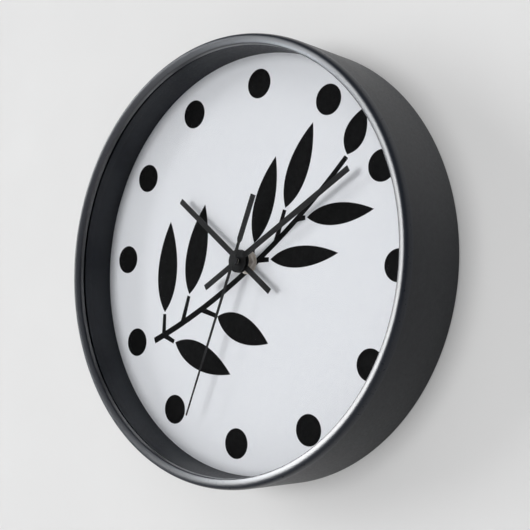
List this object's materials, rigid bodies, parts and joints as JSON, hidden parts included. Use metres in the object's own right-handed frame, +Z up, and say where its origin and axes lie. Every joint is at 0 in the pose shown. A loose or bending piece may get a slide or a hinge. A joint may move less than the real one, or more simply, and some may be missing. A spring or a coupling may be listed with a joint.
{
  "type": "wall clock",
  "caption": "Round analogue wall clock: deep drum case, bullnose front edge, recessed printed dial with dots and a leafy sprig, bar hands, battery movement and wall hanger.",
  "frame": {"origin": "centre of the wall hanger's hole, in the plane of the wall", "axes": "+Y into the wall, +Z up; the dial faces -Y"},
  "size_m": [0.254, 0.0476, 0.254],
  "materials": {
    "case_black": "satin black moulded case",
    "clear_crystal": "clear",
    "spacer_black": "satin black",
    "backing_board": "brown hardboard",
    "dial_paper": "matte white print paper",
    "dial_ink": "matte black ink",
    "zinc_steel": "bright zinc plate",
    "gasket_rubber": "black rubber",
    "pale_brass": "nickel-tinted brass",
    "movement_black": "fine-textured black plastic",
    "plate_plastic": "natural acetal",
    "bobbin_plastic": "blue moulded plastic",
    "copper_wire": "enamelled copper wire",
    "motor_steel": "stamped soft iron",
    "magnet_grey": "bare magnet",
    "gear_plastic": "natural acetal",
    "knob_plastic": "black plastic",
    "board_green": "green solder mask",
    "chip_resin": "black resin dome",
    "contact_steel": "nickel-plated spring steel",
    "cell_wrap": "plain wrapped cell",
    "hand_black": "matte black paint on aluminium"
  },
  "bodies": {
    "housing": {"case_ring": "case_black", "crystal": "clear_crystal", "spacer_ring": "spacer_black", "dial_plate": "backing_board", "dial_sheet": "dial_paper", "hour_dots": "dial_ink", "leaf_sprig": "dial_ink", "dial_clips": "zinc_steel", "clip_screws": "zinc_steel", "wall_hanger": "zinc_steel", "shaft_gasket": "gasket_rubber", "shaft_washer": "pale_brass", "hex_nut": "pale_brass", "threaded_bushing": "pale_brass", "movement_front_case": "movement_black", "movement_rear_case": "movement_black", "middle_plate": "plate_plastic", "train_bridge": "plate_plastic", "coil_bobbin": "bobbin_plastic", "coil_winding": "copper_wire", "coil_core": "motor_steel", "stator": "motor_steel", "circuit_board": "board_green", "quartz_can": "zinc_steel", "driver_chip": "chip_resin", "positive_contact": "contact_steel", "negative_contact": "contact_steel"},
    "second_hand": {"second_wheel": "gear_plastic", "second_hand": "hand_black"},
    "rotor": {"rotor_magnet": "magnet_grey", "rotor_pinion": "gear_plastic"},
    "intermediate_wheel": {"intermediate_wheel": "gear_plastic"},
    "third_wheel": {"third_wheel": "gear_plastic"},
    "centre_wheel": {"centre_wheel": "gear_plastic"},
    "minute_hand": {"cannon_pinion": "gear_plastic", "minute_hand": "hand_black"},
    "motion_wheel": {"motion_wheel": "gear_plastic"},
    "hour_hand": {"hour_wheel": "gear_plastic", "hour_hand": "hand_black"},
    "setting_knob": {"setting_knob": "knob_plastic"},
    "aa_cell": {"aa_cell": "cell_wrap"}
  },
  "joints": [
    {"name": "minute_hand_turn", "type": "hinge", "parent": "housing", "child": "minute_hand", "pos_m": [0, -0.0304, -0.042], "axis": [0, 1, 0], "continuous": true},
    {"name": "hour_hand_turn", "type": "hinge", "parent": "housing", "child": "hour_hand", "pos_m": [0, -0.0282, -0.042], "axis": [0, 1, 0], "continuous": true},
    {"name": "motion_wheel_turn", "type": "hinge", "parent": "housing", "child": "motion_wheel", "pos_m": [-0.0089, -0.0132, -0.0435], "axis": [0, 1, 0], "continuous": true},
    {"name": "setting_knob_turn", "type": "hinge", "parent": "housing", "child": "setting_knob", "pos_m": [-0.0174, -0.0022, -0.0466], "axis": [0, 1, 0], "continuous": true},
    {"name": "second_hand_turn", "type": "hinge", "parent": "housing", "child": "second_hand", "pos_m": [0, -0.0338, -0.042], "axis": [0, 1, 0], "continuous": true},
    {"name": "rotor_turn", "type": "hinge", "parent": "housing", "child": "rotor", "pos_m": [0.01117, -0.005, -0.03036], "axis": [0, 1, 0], "continuous": true},
    {"name": "intermediate_wheel_turn", "type": "hinge", "parent": "housing", "child": "intermediate_wheel", "pos_m": [0.0045, -0.0068, -0.03421], "axis": [0, 1, 0], "continuous": true},
    {"name": "third_wheel_turn", "type": "hinge", "parent": "housing", "child": "third_wheel", "pos_m": [-0.00953, -0.0099, -0.0365], "axis": [0, 1, 0], "continuous": true},
    {"name": "centre_wheel_turn", "type": "hinge", "parent": "housing", "child": "centre_wheel", "pos_m": [0, -0.0119, -0.042], "axis": [0, 1, 0], "continuous": true},
    {"name": "aa_cell_slide", "type": "slide", "parent": "housing", "child": "aa_cell", "axis": [0, 1, 0], "range_m": [0, 0.02]}
  ],
  "couplings": [
    {"joint": "hour_hand_turn", "follows": "minute_hand_turn", "ratio": 0.083333},
    {"joint": "motion_wheel_turn", "follows": "minute_hand_turn", "ratio": -0.33333},
    {"joint": "setting_knob_turn", "follows": "minute_hand_turn", "ratio": 1},
    {"joint": "rotor_turn", "follows": "second_hand_turn", "ratio": 30},
    {"joint": "intermediate_wheel_turn", "follows": "second_hand_turn", "ratio": -5},
    {"joint": "third_wheel_turn", "follows": "second_hand_turn", "ratio": -0.13333},
    {"joint": "centre_wheel_turn", "follows": "second_hand_turn", "ratio": 0.016667}
  ]
}
